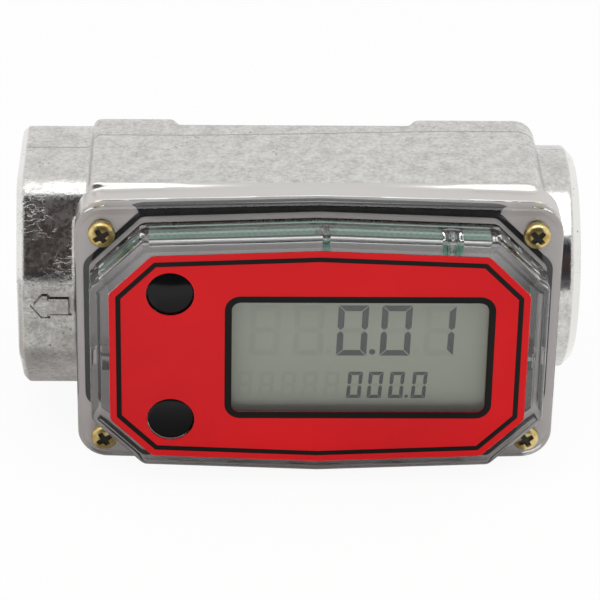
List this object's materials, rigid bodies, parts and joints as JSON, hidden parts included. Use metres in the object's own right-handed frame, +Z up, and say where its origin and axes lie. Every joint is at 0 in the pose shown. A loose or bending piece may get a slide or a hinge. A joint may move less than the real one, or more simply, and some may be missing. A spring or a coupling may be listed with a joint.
{
  "type": "digital turbine flow meter",
  "caption": "Inline turbine fuel meter: cast aluminium body with a threaded port at each end, and a battery-powered display with push buttons under a clear cover.",
  "frame": {"origin": "centre of the outlet port's mouth, on the flow axis", "axes": "+X along the flow axis from the outlet mouth to the inlet mouth, the display faces -Y, +Z up the display"},
  "size_m": [0.108, 0.0615, 0.0563],
  "materials": {
    "cast_aluminium": "as-cast, satin, with worn bright and dull patches",
    "gasket_rubber": "matt black nitrile rubber",
    "clear_plastic": "clear polycarbonate, polished",
    "label_film": "red printed polyester film, semi-matt",
    "screw_zinc": "yellow-passivated zinc on steel",
    "button_plastic": "glossy black",
    "white_plastic": "natural acetal",
    "chip_plastic": "black moulding compound",
    "board_laminate": "green solder mask on glass-fibre laminate",
    "bright_steel": "bright stainless steel",
    "lcd_glass": "grey-green reflective display glass",
    "frame_plastic": "black moulded plastic",
    "bezel_plastic": "pale grey moulded plastic",
    "cell_jacket": "plain blue shrink sleeve",
    "copper_wire": "copper and bronze",
    "rotor_plastic": "black acetal",
    "magnet_steel": "nickel-plated magnet"
  },
  "bodies": {
    "meter": {"meter_casting": "cast_aluminium", "cover_gasket": "gasket_rubber", "clear_cover": "clear_plastic", "face_label": "label_film", "cover_screws": "screw_zinc", "switch_bodies": "chip_plastic", "circuit_board": "board_laminate", "controller_chip": "chip_plastic", "capacitor": "bright_steel", "crystal": "bright_steel", "board_screws": "bright_steel", "lcd_glass": "lcd_glass", "lcd_frame": "bezel_plastic", "lcd_connectors": "gasket_rubber", "battery_tray": "frame_plastic", "upper_cell": "cell_jacket", "lower_cell": "cell_jacket", "spring_contacts": "bright_steel", "plate_contacts": "bright_steel", "pickup_bobbin": "white_plastic", "pickup_winding": "copper_wire", "pickup_core": "bright_steel", "pickup_pins": "copper_wire", "outlet_support": "white_plastic", "inlet_support": "white_plastic", "outlet_ring": "bright_steel", "inlet_ring": "bright_steel", "spindle": "bright_steel", "thrust_washers": "bright_steel"},
    "rotor": {"turbine_rotor": "rotor_plastic", "rotor_bushes": "copper_wire", "rotor_magnets": "magnet_steel"},
    "upper_button": {"upper_button": "button_plastic", "upper_plunger": "white_plastic"},
    "lower_button": {"lower_button": "button_plastic", "lower_plunger": "white_plastic"}
  },
  "joints": [
    {"name": "rotor_spin", "type": "hinge", "parent": "meter", "child": "rotor", "pos_m": [0.0572, 0, 0], "axis": [1, 0, 0], "continuous": true},
    {"name": "upper_button_press", "type": "slide", "parent": "meter", "child": "upper_button", "axis": [0, 1, 0], "range_m": [0, 0.0005], "stiffness_N_per_m": 3000},
    {"name": "lower_button_press", "type": "slide", "parent": "meter", "child": "lower_button", "axis": [0, 1, 0], "range_m": [0, 0.0005], "stiffness_N_per_m": 3000}
  ]
}
